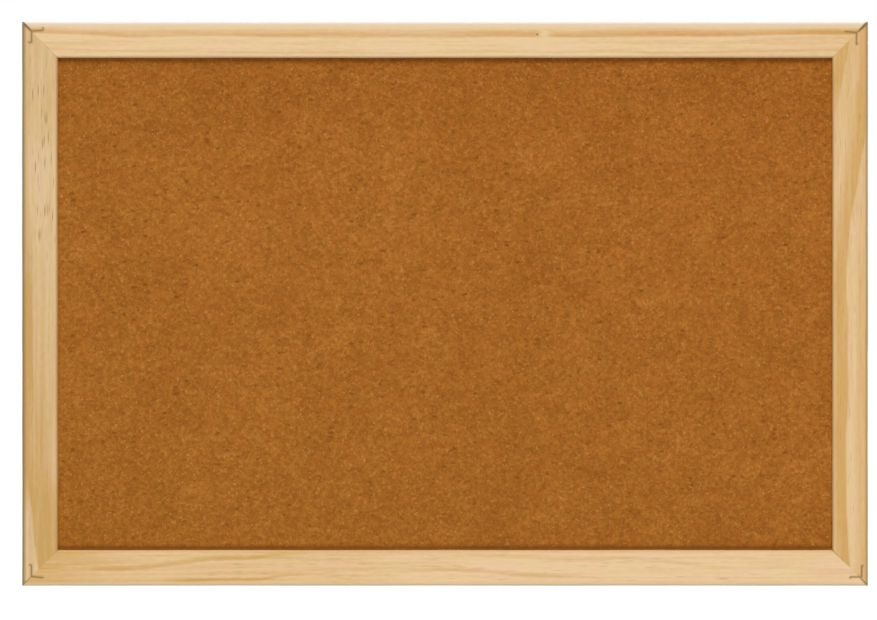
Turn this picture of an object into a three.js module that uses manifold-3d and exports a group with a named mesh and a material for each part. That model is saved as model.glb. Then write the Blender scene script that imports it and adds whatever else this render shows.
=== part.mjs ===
// A framed cork board for a wall. Four mitred pine rails hold a laminated panel in a groove,
// bent steel nails pin each mitre at the front and at the back, and two ring hangers carry it.
// Lengths are millimetres. X runs along the width, Y from the front to the wall, and Z is up.
// The origin is the middle of the top rail's back face.

import * as THREE from "three";
import { mergeVertices } from "three/addons/utils/BufferGeometryUtils.js";
import Module from "manifold-3d";

const wasm = await Module();
wasm.setup();

// The board
const boardWidth = 900;
const boardHeight = 600;

// The frame's rails
const railWidth = 38;
const railDepth = 16;
const frontArris = 2;
const backArris = 1;
const frontLip = 4;
const grooveDepth = 9;
const easedLipShare = 0.5;
const mitreGapAtOutside = 0.8;
const mitreGapAtInside = 0.12;

// The panel, glued up from three layers
const corkThickness = 2;
const coreThickness = 5.5;
const linerThickness = 0.5;
const glueLine = 0.05;
const panelFaceGap = 0.15;
const panelEdgeGap = 1;

// The corner nails, bent from steel strip
const nailThickness = 0.5;
const nailLeg = 12;
const nailSlotGap = 0.3;
const nailSink = 0.2;
const woodBetweenNails = 2;

// Each nail: how far its bend lies from the frame's side edge and from its top or bottom edge, as
// shares of the rail's width, then for its level leg and its upright leg the hook at the end and
// how far the end leans towards the frame's edge, as shares of the leg. Where the hammer
// flattened a hook, its share is zero.
const frontNails = {
  top_left: { insetShares: [0.274, 0.26], hookShares: [0.2, 0.25], leanShares: [0.08, 0] },
  top_right: { insetShares: [0.321, 0.305], hookShares: [0, 0.12], leanShares: [0.1, -0.03] },
  bottom_left: { insetShares: [0.268, 0.271], hookShares: [0, 0.15], leanShares: [0.13, 0] },
  bottom_right: { insetShares: [0.187, 0.255], hookShares: [0.1, 0.1], leanShares: [0, 0.02] },
};
const backNails = {
  top_left: { insetShares: [0.3, 0.3], hookShares: [0.25, 0.25], leanShares: [0, 0] },
  top_right: { insetShares: [0.3, 0.3], hookShares: [0.25, 0.25], leanShares: [0, 0] },
  bottom_left: { insetShares: [0.3, 0.3], hookShares: [0.25, 0.25], leanShares: [0, 0] },
  bottom_right: { insetShares: [0.3, 0.3], hookShares: [0.25, 0.25], leanShares: [0, 0] },
};

// The hangers: a strap with a rolled eye, a wire ring and two screws
const hangerDrop = 90;
const strapWidth = 12;
const strapThickness = 1;
const strapEnd = 6.5;
const curlGap = 0.4;
const wireRadius = 1.1;
const wireClearance = 0.4;
const ringSideGap = 1.2;
const ringBend = 2;
const ringStraight = 2.4;
const ringButtGap = 0.3;

const screwLength = 11;
const screwRadius = 1.75;
const screwPoint = 4;
const screwHeadRadius = 3.5;
const screwHeadRim = 0.8;
const screwHeadHeight = 2.2;
const screwSpacing = 13;
const screwToRing = 1.5;
const screwHoleGap = 0.3;
const screwSeatGap = 0.05;
const recessLength = 3.8;
const recessWidth = 0.9;
const recessDepth = 1.4;

const overrun = 1;

// Facets of the round shapes
const arcDivisions = 3;
const eyeDivisions = 9;
const ringSteps = 56;
const wireDivisions = 5;
const turnedSides = 24;
const domeSteps = 4;

// What follows from the sizes above
const halfWidth = boardWidth / 2;
const frameTop = railWidth / 2;
const frameMiddle = frameTop - boardHeight / 2;
const frontFace = -railDepth;
const panelThickness = corkThickness + coreThickness + linerThickness + 2 * glueLine;
const grooveWidth = panelThickness + 2 * panelFaceGap;
const backLip = railDepth - frontLip - grooveWidth;
const frontEase = Math.min(frontArris, frontLip * easedLipShare);
const backEase = Math.min(backArris, backLip * easedLipShare);
const nailHeight = (railDepth - woodBetweenNails) / 2 - nailSink;
const eyeBore = wireRadius + wireClearance;
const eyeRadius = eyeBore + strapThickness;
const hangerHeight = frameTop - hangerDrop;
const hangerSide = halfWidth - railWidth / 2;
const ringHalfWidth = strapWidth / 2 + ringSideGap + wireRadius;
const ringReach = ringBend + ringStraight + ringHalfWidth + wireRadius;
const screwDrops = [0, 1].map(
  (place) => ringReach + screwToRing + screwHeadRadius + place * screwSpacing,
);
const strapReach = Math.max(...screwDrops) + strapEnd;

const pine = { color: 0xdcb987, roughness: 0.55, metalness: 0 };
const cork = { color: 0xa3683a, roughness: 0.95, metalness: 0 };
const softboard = { color: 0x9c8263, roughness: 0.95, metalness: 0 };
const kraft = { color: 0xb08d62, roughness: 0.9, metalness: 0 };
const nailSteel = { color: 0x6f6455, roughness: 0.5, metalness: 1 };
const zinc = { color: 0xb9bcbd, roughness: 0.35, metalness: 1 };

function named(name, geometry, finish) {
  const mesh = new THREE.Mesh(geometry, new THREE.MeshStandardMaterial(finish));
  mesh.name = name;
  return mesh;
}

// The closed solid of a geometry, with its shared corners joined.
function solidOf(geometry) {
  const bare = geometry.index ? geometry.toNonIndexed() : geometry.clone();
  bare.deleteAttribute("normal");
  bare.deleteAttribute("uv");
  const merged = mergeVertices(bare);
  return new wasm.Manifold(
    new wasm.Mesh({
      numProp: 3,
      vertProperties: merged.attributes.position.array,
      triVerts: new Uint32Array(merged.index.array),
    }),
  );
}

// The geometry of a solid, with flat shading.
function geometryOf(solid) {
  const mesh = solid.getMesh();
  const geometry = new THREE.BufferGeometry();
  geometry.setAttribute("position", new THREE.BufferAttribute(mesh.vertProperties, 3));
  geometry.setIndex(new THREE.BufferAttribute(mesh.triVerts, 1));
  const flat = geometry.toNonIndexed();
  flat.computeVertexNormals();
  return flat;
}

// A prism of an outline drawn in X and Z, between two depths along Y.
function prismAlongY(outline, front, back, curveSegments = arcDivisions) {
  const settings = { depth: back - front, bevelEnabled: false, curveSegments };
  const geometry = new THREE.ExtrudeGeometry(outline, settings);
  geometry.rotateX(Math.PI / 2);
  geometry.translate(0, back, 0);
  return geometry;
}

// A prism of an outline drawn in Y and Z, centred on X.
function prismAlongX(outline, width, curveSegments) {
  const settings = { depth: width, bevelEnabled: false, curveSegments };
  const geometry = new THREE.ExtrudeGeometry(outline, settings);
  const turned = new THREE.Matrix4().makeBasis(
    new THREE.Vector3(0, 1, 0),
    new THREE.Vector3(0, 0, 1),
    new THREE.Vector3(1, 0, 0),
  );
  geometry.applyMatrix4(turned);
  geometry.translate(-width / 2, 0, 0);
  return geometry;
}

// The rail's section: across the rail from its outer edge, and inwards from its front face.
// Both front edges and both back edges are eased, and the groove opens at the inner edge.
function railSection() {
  const quarter = Math.PI / 2;
  const section = new THREE.Shape();
  section.moveTo(frontEase, 0);
  section.lineTo(railWidth - frontEase, 0);
  section.absarc(railWidth - frontEase, frontEase, frontEase, -quarter, 0, false);
  section.lineTo(railWidth, frontLip);
  section.lineTo(railWidth - grooveDepth, frontLip);
  section.lineTo(railWidth - grooveDepth, railDepth - backLip);
  section.lineTo(railWidth, railDepth - backLip);
  section.absarc(railWidth - backEase, railDepth - backEase, backEase, 0, quarter, false);
  section.lineTo(backEase, railDepth);
  section.absarc(backEase, railDepth - backEase, backEase, quarter, 2 * quarter, false);
  section.lineTo(0, frontEase);
  section.absarc(frontEase, frontEase, frontEase, 2 * quarter, 3 * quarter, false);
  return section;
}

// A rail of a given outer length, lying along X with its outer edge up, at height zero.
// Its ends are cut at 45 degrees, a little shorter at the outer edge than at the inner one,
// so that two rails touch first at the inner corner.
function railGeometry(outerLength) {
  const settings = { depth: 1, bevelEnabled: false, curveSegments: arcDivisions };
  const geometry = new THREE.ExtrudeGeometry(railSection(), settings);
  const corners = geometry.attributes.position;
  for (let i = 0; i < corners.count; i++) {
    const across = corners.getX(i);
    const inwards = corners.getY(i);
    const side = 2 * corners.getZ(i) - 1;
    const gap = THREE.MathUtils.lerp(mitreGapAtOutside, mitreGapAtInside, across / railWidth);
    corners.setXYZ(i, side * (outerLength / 2 - across - gap), frontFace + inwards, -across);
  }
  return geometry;
}

// The outline of a strip that follows a bent line, with mitred bends.
function stripOutline(line, width) {
  const steps = line.slice(1).map((point, i) => point.clone().sub(line[i]).normalize());
  const sideAt = (i) => {
    const before = steps[Math.max(i - 1, 0)];
    const after = steps[Math.min(i, steps.length - 1)];
    const normal = new THREE.Vector2(-before.y - after.y, before.x + after.x).normalize();
    return normal.divideScalar(normal.dot(new THREE.Vector2(-after.y, after.x)));
  };
  const left = line.map((point, i) => point.clone().addScaledVector(sideAt(i), width / 2));
  const right = line.map((point, i) => point.clone().addScaledVector(sideAt(i), -width / 2));
  return new THREE.Shape([...left, ...right.reverse()]);
}

// The bent line of a corner nail, seen from the front. Its two legs run inwards from the
// bend along the rails, and a hook turns back towards the frame's edge. Its ends reach
// further by the extra length.
function nailLine({ insetShares, hookShares, leanShares }, toSide, toTop, extra) {
  const bendX = toSide * (halfWidth - insetShares[0] * railWidth);
  const bendZ = frameMiddle + toTop * (boardHeight / 2 - insetShares[1] * railWidth);
  const [levelHook, uprightHook] = hookShares.map((share) => share * nailLeg);
  const [levelLean, uprightLean] = leanShares.map((share) => share * nailLeg);
  const levelReach = levelHook > 0 ? nailLeg : nailLeg + extra;
  const uprightReach = uprightHook > 0 ? nailLeg : nailLeg + extra;
  const line = [
    new THREE.Vector2(bendX - toSide * levelReach, bendZ + toTop * levelLean),
    new THREE.Vector2(bendX, bendZ),
    new THREE.Vector2(bendX + toSide * uprightLean, bendZ - toTop * uprightReach),
  ];
  if (levelHook > 0) {
    const levelEnd = line[0].clone();
    levelEnd.y += toTop * (levelHook + extra);
    line.unshift(levelEnd);
  }
  if (uprightHook > 0) {
    const uprightEnd = line[line.length - 1].clone();
    uprightEnd.x += toSide * (uprightHook + extra);
    line.push(uprightEnd);
  }
  return line;
}

// The nails of one face of the frame, and the slots that they leave in the wood.
function cornerNails(face, corners) {
  const atFront = face === "front";
  const nailFront = atFront ? frontFace + nailSink : -nailSink - nailHeight;
  const slotFront = atFront ? frontFace - overrun : nailFront - nailSlotGap;
  const slotBack = atFront ? nailFront + nailHeight + nailSlotGap : overrun;
  return Object.entries(corners).map(([corner, bends]) => {
    const toTop = corner.startsWith("top") ? 1 : -1;
    const toSide = corner.endsWith("right") ? 1 : -1;
    const line = nailLine(bends, toSide, toTop, 0);
    const outline = stripOutline(line, nailThickness);
    const slotLine = nailLine(bends, toSide, toTop, nailSlotGap);
    const slotOutline = stripOutline(slotLine, nailThickness + 2 * nailSlotGap);
    const nail = prismAlongY(outline, nailFront, nailFront + nailHeight);
    return {
      mesh: named(face + "_nail_" + corner, nail, nailSteel),
      slot: solidOf(prismAlongY(slotOutline, slotFront, slotBack)),
    };
  });
}

// The hole that a hanger screw leaves in a stile.
function screwHole(x, z) {
  const depth = screwLength + screwHoleGap;
  const radius = screwRadius + screwHoleGap;
  const hole = new THREE.CylinderGeometry(radius, radius, depth + overrun, turnedSides);
  hole.translate(x, (overrun - depth) / 2, z);
  return solidOf(hole);
}

// Four rails, each built as a top rail and turned about the middle of the frame.
function frameRails(cuts) {
  const sides = [
    ["top_rail", 0, boardWidth, boardHeight],
    ["right_stile", 1, boardHeight, boardWidth],
    ["bottom_rail", 2, boardWidth, boardHeight],
    ["left_stile", 3, boardHeight, boardWidth],
  ];
  const frame = new THREE.Group();
  frame.position.z = frameMiddle;
  for (const [name, quarterTurns, length, distanceAcross] of sides) {
    const side = new THREE.Group();
    side.rotation.y = (quarterTurns * Math.PI) / 2;
    frame.add(side);
    frame.updateMatrixWorld(true);
    const geometry = railGeometry(length);
    geometry.translate(0, 0, distanceAcross / 2);
    const toSide = side.matrixWorld.clone().invert();
    const cutter = cuts.map((cut) => solidOf(geometryOf(cut).applyMatrix4(toSide)));
    const rail = cutter.reduce((wood, cut) => wood.subtract(cut), solidOf(geometry));
    side.add(named(name, geometryOf(rail), pine));
  }
  return frame;
}

// The three layers of the panel, from the front to the back.
function panelLayers() {
  const inGroove = grooveDepth - panelEdgeGap;
  const width = boardWidth - 2 * (railWidth - inGroove);
  const height = boardHeight - 2 * (railWidth - inGroove);
  const layers = [
    ["cork_sheet", corkThickness, cork],
    ["core_board", coreThickness, softboard],
    ["back_liner", linerThickness, kraft],
  ];
  let front = frontFace + frontLip + panelFaceGap;
  return layers.map(([name, thickness, finish]) => {
    const layer = named(name, new THREE.BoxGeometry(width, thickness, height), finish);
    layer.position.set(0, front + thickness / 2, frameMiddle);
    front += thickness + glueLine;
    return layer;
  });
}

// The strap lies flat on the wood below its eye, whose bore holds the ring. The strip runs up
// the wood, over the ring and back towards itself, and its lower end is rounded.
function strapGeometry() {
  const curlEnd = -Math.PI / 2 - Math.asin((eyeBore - curlGap) / eyeRadius);
  const section = new THREE.Shape();
  section.moveTo(0, -strapReach);
  section.lineTo(0, 0);
  section.absarc(eyeRadius, 0, eyeRadius, Math.PI, curlEnd, true);
  section.lineTo(eyeRadius + eyeBore * Math.cos(curlEnd), eyeBore * Math.sin(curlEnd));
  section.absarc(eyeRadius, 0, eyeBore, curlEnd, Math.PI, false);
  section.lineTo(strapThickness, -strapReach);
  const strip = solidOf(prismAlongX(section, strapWidth, eyeDivisions));

  const plan = new THREE.Shape();
  const roundCentre = strapWidth / 2 - strapReach;
  plan.moveTo(strapWidth / 2 + overrun, eyeRadius + overrun);
  plan.lineTo(-strapWidth / 2 - overrun, eyeRadius + overrun);
  plan.lineTo(-strapWidth / 2 - overrun, roundCentre);
  plan.absarc(0, roundCentre, strapWidth / 2, Math.PI, 2 * Math.PI, false);
  plan.lineTo(strapWidth / 2 + overrun, roundCentre);
  const blank = solidOf(prismAlongY(plan, -overrun, 2 * eyeRadius + overrun, eyeDivisions));

  const holeRadius = screwRadius + screwHoleGap;
  const holeLength = strapThickness + 2 * overrun;
  const holes = screwDrops.map((drop) => {
    const hole = new THREE.CylinderGeometry(holeRadius, holeRadius, holeLength, turnedSides);
    hole.translate(0, strapThickness / 2, -drop);
    return solidOf(hole);
  });
  return geometryOf(holes.reduce((steel, hole) => steel.subtract(hole), strip.intersect(blank)));
}

// The ring's centre line, hanging from the eye's axis. It starts and ends at the butt of the
// wire, which lies inside the eye, and it bends round two corners and a half circle.
class RingLine extends THREE.Curve {
  constructor() {
    super();
    const side = ringHalfWidth;
    const low = -ringBend - ringStraight;
    this.flat = new THREE.Path();
    this.flat.moveTo(ringButtGap / 2, 0);
    this.flat.lineTo(side - ringBend, 0);
    this.flat.absarc(side - ringBend, -ringBend, ringBend, Math.PI / 2, 0, true);
    this.flat.lineTo(side, low);
    this.flat.absarc(0, low, side, 0, -Math.PI, true);
    this.flat.lineTo(-side, -ringBend);
    this.flat.absarc(ringBend - side, -ringBend, ringBend, Math.PI, Math.PI / 2, true);
    this.flat.lineTo(-ringButtGap / 2, 0);
  }

  getPoint(share, target = new THREE.Vector3()) {
    const point = this.flat.getPoint(share);
    return target.set(point.x, 0, point.y);
  }
}

function ringGeometry() {
  const section = new THREE.Shape();
  section.absarc(0, 0, wireRadius, 0, 2 * Math.PI, false);
  return new THREE.ExtrudeGeometry(section, {
    steps: ringSteps,
    extrudePath: new RingLine(),
    curveSegments: wireDivisions,
    bevelEnabled: false,
  });
}

// A pan-head wood screw along Y, its seat at height zero and its point inwards. The shank has
// the thread's outer radius, and the head has a domed top with a cross recess.
function screwGeometry() {
  const dome = Array.from({ length: domeSteps }, (_, i) => {
    const angle = ((i + 1) / domeSteps) * (Math.PI / 2);
    const radius = screwHeadRadius * Math.cos(angle);
    const rise = (screwHeadHeight - screwHeadRim) * Math.sin(angle);
    return new THREE.Vector2(i + 1 === domeSteps ? 0 : radius, screwHeadRim + rise);
  });
  const profile = [
    new THREE.Vector2(0, -screwLength),
    new THREE.Vector2(screwRadius, screwPoint - screwLength),
    new THREE.Vector2(screwRadius, 0),
    new THREE.Vector2(screwHeadRadius, 0),
    new THREE.Vector2(screwHeadRadius, screwHeadRim),
    ...dome,
  ];
  const blank = solidOf(new THREE.LatheGeometry(profile, turnedSides));
  const bars = [
    new THREE.BoxGeometry(recessLength, recessDepth + overrun, recessWidth),
    new THREE.BoxGeometry(recessWidth, recessDepth + overrun, recessLength),
  ].map((bar) => {
    bar.translate(0, screwHeadHeight - recessDepth + (recessDepth + overrun) / 2, 0);
    return solidOf(bar);
  });
  return geometryOf(blank.subtract(bars[0].add(bars[1])));
}

// A hanger on the back of one stile. The ring turns about the eye's axis.
function hanger(side, toSide) {
  const group = new THREE.Group();
  group.position.set(toSide * hangerSide, 0, hangerHeight);
  group.add(named(side + "_hanger_strap", strapGeometry(), zinc));

  const pivot = new THREE.Group();
  pivot.position.y = eyeRadius;
  pivot.add(named(side + "_hanger_ring", ringGeometry(), zinc));
  group.add(pivot);

  ["upper", "lower"].forEach((place, i) => {
    const screw = named(side + "_hanger_screw_" + place, screwGeometry(), zinc);
    screw.position.set(0, strapThickness + screwSeatGap, -screwDrops[i]);
    group.add(screw);
  });
  return group;
}

const board = new THREE.Group();
const nails = [
  ...cornerNails("front", frontNails),
  ...cornerNails("back", backNails),
];
const hangerSides = [
  ["left", -1],
  ["right", 1],
];
const screwHoles = hangerSides.flatMap(([, toSide]) =>
  screwDrops.map((drop) => screwHole(toSide * hangerSide, hangerHeight - drop)),
);
board.add(frameRails([...nails.map((nail) => nail.slot), ...screwHoles]));
board.add(...panelLayers());
board.add(...nails.map((nail) => nail.mesh));
board.add(...hangerSides.map(([side, toSide]) => hanger(side, toSide)));

export default board;
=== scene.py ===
# %% [markdown]
# # A framed cork board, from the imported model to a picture
# The board is a panel of granulated cork, softboard and kraft paper, held in the groove of a
# mitred pine frame. Bent steel nails pin the corners, and two ring hangers carry it on a wall.
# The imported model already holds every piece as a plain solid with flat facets, in the right
# place. This lesson gives each piece the shape and the finish that the eye expects, one by one,
# and never moves anything: X runs along the width, Y from the front to the wall, and Z up.

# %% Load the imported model
import math

import bmesh
import bpy
import numpy as np
from mathutils import Matrix, Vector


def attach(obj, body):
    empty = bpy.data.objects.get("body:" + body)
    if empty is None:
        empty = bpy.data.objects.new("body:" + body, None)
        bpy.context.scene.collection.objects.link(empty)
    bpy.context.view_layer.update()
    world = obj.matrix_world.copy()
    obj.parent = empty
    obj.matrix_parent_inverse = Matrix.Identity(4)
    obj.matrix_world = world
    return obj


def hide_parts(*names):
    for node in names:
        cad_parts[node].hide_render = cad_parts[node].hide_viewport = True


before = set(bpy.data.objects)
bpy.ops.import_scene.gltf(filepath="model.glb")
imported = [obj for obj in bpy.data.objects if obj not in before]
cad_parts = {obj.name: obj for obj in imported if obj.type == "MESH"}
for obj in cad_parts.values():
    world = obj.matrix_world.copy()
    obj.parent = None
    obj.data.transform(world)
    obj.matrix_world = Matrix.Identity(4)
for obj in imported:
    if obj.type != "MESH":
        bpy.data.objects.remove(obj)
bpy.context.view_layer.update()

# %% [markdown]
# ## Sizes
# All sizes are real ones in millimetres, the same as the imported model's, because a joiner
# thinks in them. They become metres in one place only, where points enter a mesh.

# %% The sizes of the frame and of the panel
BOARD_WIDTH, BOARD_HEIGHT = 900.0, 600.0
RAIL_WIDTH, RAIL_DEPTH = 38.0, 16.0
FRONT_FACE = -RAIL_DEPTH
FRAME_TOP = RAIL_WIDTH / 2
FRAME_MIDDLE = FRAME_TOP - BOARD_HEIGHT / 2
FRONT_ROUND, BACK_ROUND = 2.0, 1.0
GROOVE_DEPTH, LIP_FRONT, LIP_BACK = 9.0, 4.0, 12.4
PANEL_WIDTH, PANEL_HEIGHT = 840.0, 540.0
CORK_FRONT, CORK_BACK = -11.85, -9.85
CORK_HEAD, CORK_FOOT = FRAME_TOP - RAIL_WIDTH, FRAME_TOP - BOARD_HEIGHT + RAIL_WIDTH
LINER_FRONT, LINER_BACK = -4.25, -3.75
print("the cork shows", BOARD_WIDTH - 2 * RAIL_WIDTH, "by", CORK_HEAD - CORK_FOOT, "mm")

# %% [markdown]
# ## The camera
# The photograph is taken square to the board, with the middle of the picture a few millimetres
# off the board's middle. A long lens keeps the four rails even. The distance follows from the
# picture's scale: the 877 pixels of its width cover 932.5 mm at the frame's face.

# %% Place the camera
LENS, SENSOR, COVERED = 100.0, 36.0, 932.5
CAMERA_X, CAMERA_Z = -6.96, -287.5
camera = bpy.data.objects.new("camera", bpy.data.cameras.new("camera"))
camera.data.lens, camera.data.sensor_width = LENS, SENSOR
distance = COVERED * LENS / SENSOR
camera.location = Vector((CAMERA_X, FRONT_FACE - distance, CAMERA_Z)) / 1000
camera.rotation_euler = (math.radians(90), 0, 0)
camera.data.clip_start, camera.data.clip_end = 0.05, 100
bpy.context.scene.collection.objects.link(camera)
bpy.context.scene.camera = camera
print("camera stands", round(distance), "mm in front of the frame")


# %% [markdown]
# ## Helpers for every finish
# Colours are written as a painter's hex values, which are sRGB, while shaders count in linear
# light, so one function converts them. A material is a small graph: one function adds a node
# with its settings, the stops of its ramp or the points of its curve, and one sets or links
# the sockets of a node. Patterns read the object's own coordinates, turned to millimetres, and
# many are stretched, so that their features have a real size in each direction.

# %% Colours and nodes
def linear(hex_colour):
    """Linear RGBA of an sRGB hex colour: below 0.04045 a straight line, above it a power of 2.4."""
    srgb = np.array([int(hex_colour[i : i + 2], 16) for i in (1, 3, 5)]) / 255
    light = np.where(srgb <= 0.04045, srgb / 12.92, ((srgb + 0.055) / 1.055) ** 2.4)
    return (*light.tolist(), 1.0)


def connect(tree, node, links):
    """Gives sockets, by name or number, a value, a hex colour, an output, or a node's first one."""
    for key, value in links.items():
        named = (s for s in node.inputs if s.name == key and s.enabled)
        socket = node.inputs[key] if isinstance(key, int) else next(named)
        if isinstance(value, bpy.types.Node):
            value = next(s for s in value.outputs if s.enabled)
        if isinstance(value, bpy.types.NodeSocket):
            tree.links.new(value, socket)
        else:
            socket.default_value = linear(value) if isinstance(value, str) else value


def add(tree, kind, links=None, stops=None, line=None, **settings):
    """Adds one node with its settings, its links, and its ramp's stops or its curve's points."""
    made = tree.nodes.new("ShaderNode" + kind)
    for name, value in settings.items():
        setattr(made, name, value)
    connect(tree, made, links or {})
    for i, (place, shade) in enumerate(stops or []):
        ramp = made.color_ramp.elements
        stop = ramp[i] if i < 2 else ramp.new(place)
        stop.position = place
        stop.color = linear(shade) if isinstance(shade, str) else (shade, shade, shade, 1)
    for i, (place, value) in enumerate(line or []):
        curve = made.mapping.curves[0].points
        point = curve[i] if i < 2 else curve.new(place, value)
        point.location = (place, value)
        point.handle_type = "AUTO_CLAMPED"
    if line:
        made.mapping.update()
    return made


def new_finish(name, **settings):
    """A material, its nodes, its shader with plain settings, and the object's own place in mm."""
    material = bpy.data.materials.new(name)
    material.use_nodes = True
    tree = material.node_tree
    shader = tree.nodes["Principled BSDF"]
    connect(tree, shader, {key.replace("_", " "): settings[key] for key in settings})
    metres = add(tree, "TexCoord").outputs["Object"]
    place = add(tree, "Mapping", {"Vector": metres, "Scale": (1000, 1000, 1000)})
    return material, tree, shader, place


def stretch(place, along_x, along_y, along_z, shift=(0, 0, 0)):
    """A mapping's links: a pattern at scale 1 gets features of three sizes, and is shifted."""
    return {"Vector": place, "Scale": (1 / along_x, 1 / along_y, 1 / along_z), "Location": shift}


print("linear light of a mid cork brown:", [round(c, 3) for c in linear("#a46321")])

# %% [markdown]
# ## Light and stage
# A plain studio light: a pale sky from all round, and one very wide soft lamp high in front,
# which throws the soft shadow of the top rail on the cork, about 8 mm long. A sun lamp 30
# degrees wide gives that shadow the same softness all along the rail. A weaker lamp low behind
# the board lights its back and never reaches the front. Camera and mirror rays see the sky as
# white, so that the background is white and metal has something bright to reflect, while the
# light that reaches the board stays at a plain level. The floor glows for the same rays.

# %% Sky, lamps and floor
SKY_LEVEL, FLOOR_GLOW = 0.28, 0.48
FRONT_LAMP = dict(level=2.94, width_angle=30, height_angle=59, side_angle=3)
BACK_LAMP = dict(level=1.5, width_angle=20, height_angle=12, side_angle=160)
FLOOR_LEVEL, FLOOR_REACH = -850.0, 30000.0


def ray_share(tree, *rays):
    """1 for camera rays and for the other kinds named, and 0 for the light on the board."""
    paths = add(tree, "LightPath")
    seen = paths.outputs["Is Camera Ray"]
    for ray in rays:
        seen = add(tree, "Math", {0: seen, 1: paths.outputs[ray]}, operation="MAXIMUM")
    return seen


world = bpy.data.worlds.new("studio_sky")
bpy.context.scene.world = world
world.use_nodes = True
sky = world.node_tree
seen = ray_share(sky, "Is Glossy Ray", "Is Transmission Ray")
strength = add(sky, "MapRange", {"Value": seen, "To Min": SKY_LEVEL, "To Max": 1.0})
connect(sky, sky.nodes["Background"], {"Color": "#ffffff", "Strength": strength})


def soft_lamp(name, level, width_angle, height_angle, side_angle):
    """A sun lamp so many degrees wide, above the horizon, and turned about Z from the front."""
    lamp = bpy.data.objects.new(name, bpy.data.lights.new(name, "SUN"))
    lamp.data.energy = level
    lamp.data.angle = math.radians(width_angle)
    lamp.rotation_euler = (math.radians(90 - height_angle), 0, math.radians(side_angle))
    bpy.context.scene.collection.objects.link(lamp)


soft_lamp("front_lamp", **FRONT_LAMP)
soft_lamp("back_lamp", **BACK_LAMP)

floor_mesh = bpy.data.meshes.new("floor")
corners = np.array([[-1, -1], [1, -1], [1, 1], [-1, 1]]) * FLOOR_REACH
corners = np.c_[corners, np.full(4, FLOOR_LEVEL)] / 1000
floor_mesh.from_pydata(corners.tolist(), [], [[0, 1, 2, 3]])
floor = bpy.data.objects.new("floor", floor_mesh)
bpy.context.scene.collection.objects.link(floor)

painted, tree, shader, _ = new_finish("pale_painted_floor", Roughness=0.9, Base_Color="#d2d2d0")
seen = ray_share(tree, "Is Glossy Ray")
glow = add(tree, "Math", {0: seen, 1: FLOOR_GLOW}, operation="MULTIPLY")
connect(tree, shader, {"Emission Color": "#ffffff", "Emission Strength": glow})
floor.data.materials.append(painted)

view = bpy.context.scene.view_settings
view.view_transform = "Standard"
print("sky", SKY_LEVEL, "front lamp", FRONT_LAMP["level"], "floor at", FLOOR_LEVEL, "mm")


# %% [markdown]
# ## From arrays to pieces
# Every new piece is a surface on a grid of two parameters, worked out as whole arrays. Most are
# tubes: a closed profile with one copy at each station of a path. One function puts points into
# a mesh, one closes a tube, one cuts a piece, and one gives it its finish and its body.

# %% Meshes from grids
def build(name, points, faces):
    """A new object from points in mm. Shared points are joined and faces turned outwards."""
    mesh = bpy.data.meshes.new(name)
    mesh.from_pydata((np.asarray(points).reshape(-1, 3) / 1000).tolist(), [], faces)
    work = bmesh.new()
    work.from_mesh(mesh)
    bmesh.ops.remove_doubles(work, verts=work.verts, dist=1e-6)
    bmesh.ops.recalc_face_normals(work, faces=work.faces)
    work.to_mesh(mesh)
    work.free()
    piece = bpy.data.objects.new(name, mesh)
    bpy.context.scene.collection.objects.link(piece)
    return piece


def tube(name, points):
    """Quads between neighbouring closed profiles, and a cap over the first and the last one."""
    stations, around = points.shape[:2]
    start = np.arange(stations - 1)[:, None] * around
    here = np.arange(around)[None, :]
    after = (here + 1) % around
    quads = [start + here, start + after, start + around + after, start + around + here]
    caps = [np.arange(around)[::-1], np.arange(around) + (stations - 1) * around]
    faces = np.stack(quads, -1).reshape(-1, 4).tolist() + [cap.tolist() for cap in caps]
    return build(name, points, faces)


def cut_away(piece, cutters, keep=False):
    """Takes the cutters' space out of the piece. The cutters go too, unless another needs them."""
    for cutter in cutters:
        cut = piece.modifiers.new("cut", "BOOLEAN")
        cut.operation, cut.solver, cut.object = "DIFFERENCE", "EXACT", cutter
    shown = piece.evaluated_get(bpy.context.evaluated_depsgraph_get())
    whole, piece.data = piece.data, bpy.data.meshes.new_from_object(shown)
    piece.modifiers.clear()
    bpy.data.meshes.remove(whole)
    for cutter in () if keep else cutters:
        bpy.data.objects.remove(cutter)


def complete(piece, finish, slot, body, *nodes, crease=35):
    """Finish, smooth shading with creases above an angle, record body and replaced nodes. The slot
    is not used.
    """
    piece.data.materials.clear()
    piece.data.materials.append(finish)
    piece.data.shade_smooth()
    piece.data.set_sharp_from_angle(angle=math.radians(crease))
    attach(piece, body)
    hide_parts(*nodes)
    piece.data.calc_loop_triangles()
    print(piece.name, len(piece.data.loop_triangles), "triangles")


# %% [markdown]
# ## The rails' shape
# A rail is planed pine with a groove for the panel. Its section is carried along the rail. Hand
# sanding leaves the long edges round, a tenth of a millimetre out of true, and never sharp. The
# ends are cut at 45 degrees, so the stations lean with the cut near each end. The mitres of
# this frame are closed towards the panel and worn at the outer corners, where both edges of
# the joint have crumbled to a shallow hollow. So the face sinks beside the cut by a function
# of the distance from it, and how wide and deep the hollow is depends on the place along it.

# %% The section of a rail, and where the rails lie
def arc(centre, radius, start, end, count):
    """Points on a circle's arc between two angles in degrees."""
    turn = np.radians(np.linspace(start, end, count))
    return np.c_[centre[0] + radius * np.cos(turn), centre[1] + radius * np.sin(turn)]


def straight(start, end, count):
    """Points inside a straight stretch, without its two ends."""
    share = np.linspace(0, 1, count + 2)[1:-1, None]
    return np.array(start) * (1 - share) + np.array(end) * share


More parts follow.
